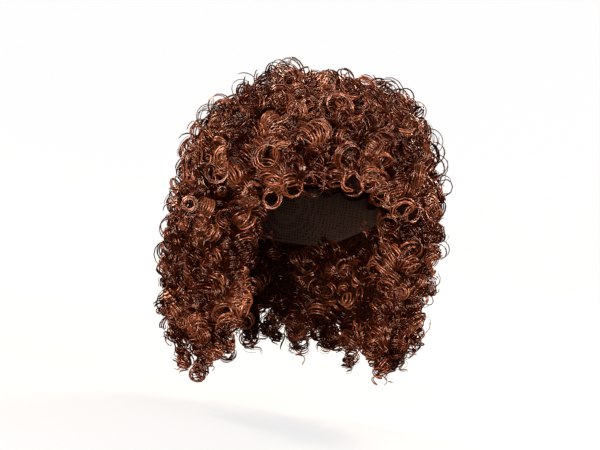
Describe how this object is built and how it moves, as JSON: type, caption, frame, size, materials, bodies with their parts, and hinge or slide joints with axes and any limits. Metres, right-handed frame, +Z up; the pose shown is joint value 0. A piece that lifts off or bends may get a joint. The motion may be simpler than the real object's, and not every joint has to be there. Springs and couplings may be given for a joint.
{
  "type": "wig",
  "caption": "Curly shoulder-length wig with a fringe, in its worn form: a hollow net cap that sits on the head, with masses of glossy auburn ringlets round an open face and neck.",
  "frame": {"origin": "top of the head inside the cap, where the wig sits on it", "axes": "+Z up, -Y the way the face looks, +X the wearer's left"},
  "size_m": [0.2899, 0.2698, 0.3382],
  "materials": {
    "cap_net": "dark brown stretch net with sewn wefts",
    "hair": "glossy auburn synthetic fibre, dark brown to copper"
  },
  "bodies": {
    "root": {"cap": "cap_net", "fringe": "hair", "crown_hair": "hair", "right_side_hair": "hair", "left_side_hair": "hair", "back_hair": "hair"}
  },
  "joints": []
}
